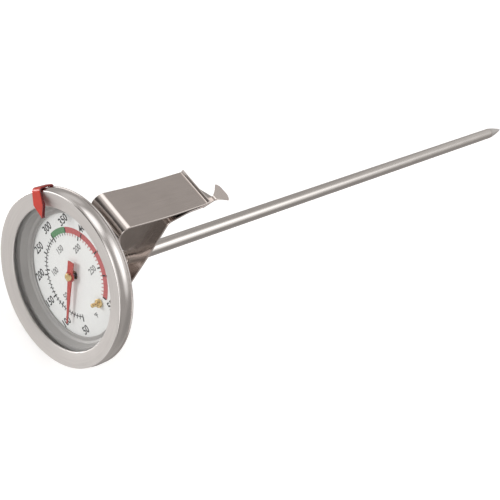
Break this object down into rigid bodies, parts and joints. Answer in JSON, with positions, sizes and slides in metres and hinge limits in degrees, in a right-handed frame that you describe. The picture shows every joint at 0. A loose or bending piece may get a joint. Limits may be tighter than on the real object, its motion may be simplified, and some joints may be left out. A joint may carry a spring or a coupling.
{
  "type": "dial thermometer",
  "caption": "Round dial thermometer with a long pointed steel probe stem, a sliding rim marker and a sheet-metal pan clip.",
  "frame": {"origin": "centre of the lens's front face, on the stem's axis", "axes": "+Y along the probe stem, from the dial to the point; +Z towards the pan clip's plate; +X to the right when the dial is seen from the front"},
  "size_m": [0.06, 0.2979, 0.0606],
  "materials": {
    "bezel_steel": "turned and brushed in circles, bright rounded edge",
    "lens_glass": "clear flat window",
    "seal_rubber": "matt black seal",
    "inner_ring": "satin grey",
    "dial_enamel": "satin white with a printed scale",
    "brass": "bright turned brass",
    "case_steel": "pressed and satin",
    "stem_steel": "drawn tube, satin with fine lengthwise lines",
    "tip_steel": "ground point",
    "bimetal": "rolled strip, slightly heat tinted",
    "shaft_steel": "drawn wire",
    "pointer_red": "satin red paint",
    "marker_red": "glossy red plastic",
    "clip_steel": "spring strip, satin outside, warm reflections inside"
  },
  "bodies": {
    "head": {"bezel_ring": "bezel_steel", "lens": "lens_glass", "lens_gasket": "seal_rubber", "spacer_ring": "inner_ring", "dial_plate": "dial_enamel", "stop_pin": "brass", "case_cup": "case_steel", "stem_collar": "case_steel", "stem_tube": "stem_steel", "stem_tip": "tip_steel", "upper_shaft_guide": "brass", "lower_shaft_guide": "brass", "bimetal_coil": "bimetal", "coil_anchor": "brass"},
    "pointer": {"pointer": "pointer_red", "pointer_hub": "brass", "pointer_shaft": "shaft_steel", "coil_hub": "brass"},
    "rim_marker": {"rim_marker": "marker_red"},
    "pan_clip": {"pan_clip": "clip_steel"}
  },
  "joints": [
    {"name": "pointer_turn", "type": "hinge", "parent": "head", "child": "pointer", "pos_m": [0, 0, 0], "axis": [0, 1, 0], "range_deg": [-22.8, 277.2], "stiffness_Nm_per_rad": 0.0002},
    {"name": "marker_slide_round", "type": "hinge", "parent": "head", "child": "rim_marker", "pos_m": [0, 0, 0], "axis": [0, 1, 0], "continuous": true},
    {"name": "clip_slide", "type": "slide", "parent": "head", "child": "pan_clip", "axis": [0, 1, 0], "range_m": [0, 0.235]}
  ]
}
